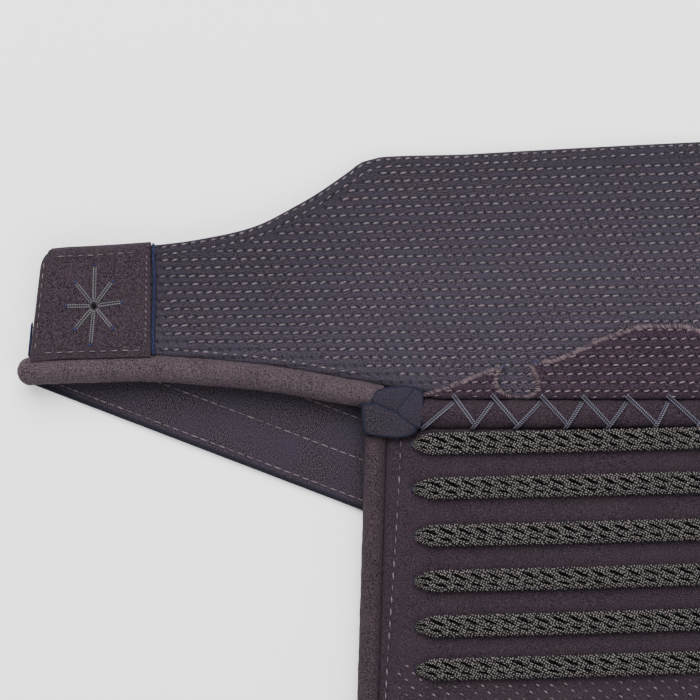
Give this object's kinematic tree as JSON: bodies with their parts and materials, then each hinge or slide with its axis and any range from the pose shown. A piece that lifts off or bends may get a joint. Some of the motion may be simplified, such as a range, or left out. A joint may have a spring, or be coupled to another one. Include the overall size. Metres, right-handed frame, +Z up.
{
  "type": "kendo waist protector",
  "caption": "Padded waist and hip protector: a quilted band with ear ends and tie straps over leather-faced hanging flaps, lying flat with its face up.",
  "frame": {"origin": "centre of the bounding box's lower face, on the surface that the protector lies on", "axes": "+X along the waist band, towards the wearer's left hand; +Y from the flaps to the band's top edge; +Z up out of the protector's face"},
  "size_m": [0.7978, 0.3702, 0.0258],
  "materials": {
    "quilted_cotton": "dark grey-violet indigo cotton twill, quilted in close rows",
    "smoked_leather": "plum-black smoked deer leather, napped and matte",
    "braided_cord": "grey-olive braided cotton cord",
    "strap_cotton": "dark cotton webbing with stitched rows",
    "binding_cotton": "navy cotton cloth"
  },
  "bodies": {
    "root": {"waist_band": "quilted_cotton", "laced_roll": "smoked_leather", "cloud_leather": "smoked_leather", "ear_roll_left": "smoked_leather", "ear_roll_right": "smoked_leather", "ear_patch_left": "smoked_leather", "ear_patch_right": "smoked_leather", "corner_binding_left": "binding_cotton", "corner_binding_right": "binding_cotton", "strap_left": "strap_cotton", "strap_right": "strap_cotton", "flap_left": "smoked_leather", "flap_middle": "smoked_leather", "flap_right": "smoked_leather", "flap_left_edge_roll": "smoked_leather", "flap_middle_edge_roll": "smoked_leather", "flap_right_edge_roll": "smoked_leather", "flap_left_cord_1": "braided_cord", "flap_left_cord_2": "braided_cord", "flap_left_cord_3": "braided_cord", "flap_left_cord_4": "braided_cord", "flap_left_cord_5": "braided_cord", "flap_left_cord_6": "braided_cord", "flap_middle_cord_1": "braided_cord", "flap_middle_cord_2": "braided_cord", "flap_middle_cord_3": "braided_cord", "flap_middle_cord_4": "braided_cord", "flap_middle_cord_5": "braided_cord", "flap_middle_cord_6": "braided_cord", "flap_right_cord_1": "braided_cord", "flap_right_cord_2": "braided_cord", "flap_right_cord_3": "braided_cord", "flap_right_cord_4": "braided_cord", "flap_right_cord_5": "braided_cord", "flap_right_cord_6": "braided_cord", "small_flap_left": "smoked_leather", "small_flap_right": "smoked_leather", "small_flap_left_edge_roll": "smoked_leather", "small_flap_right_edge_roll": "smoked_leather"}
  },
  "joints": []
}
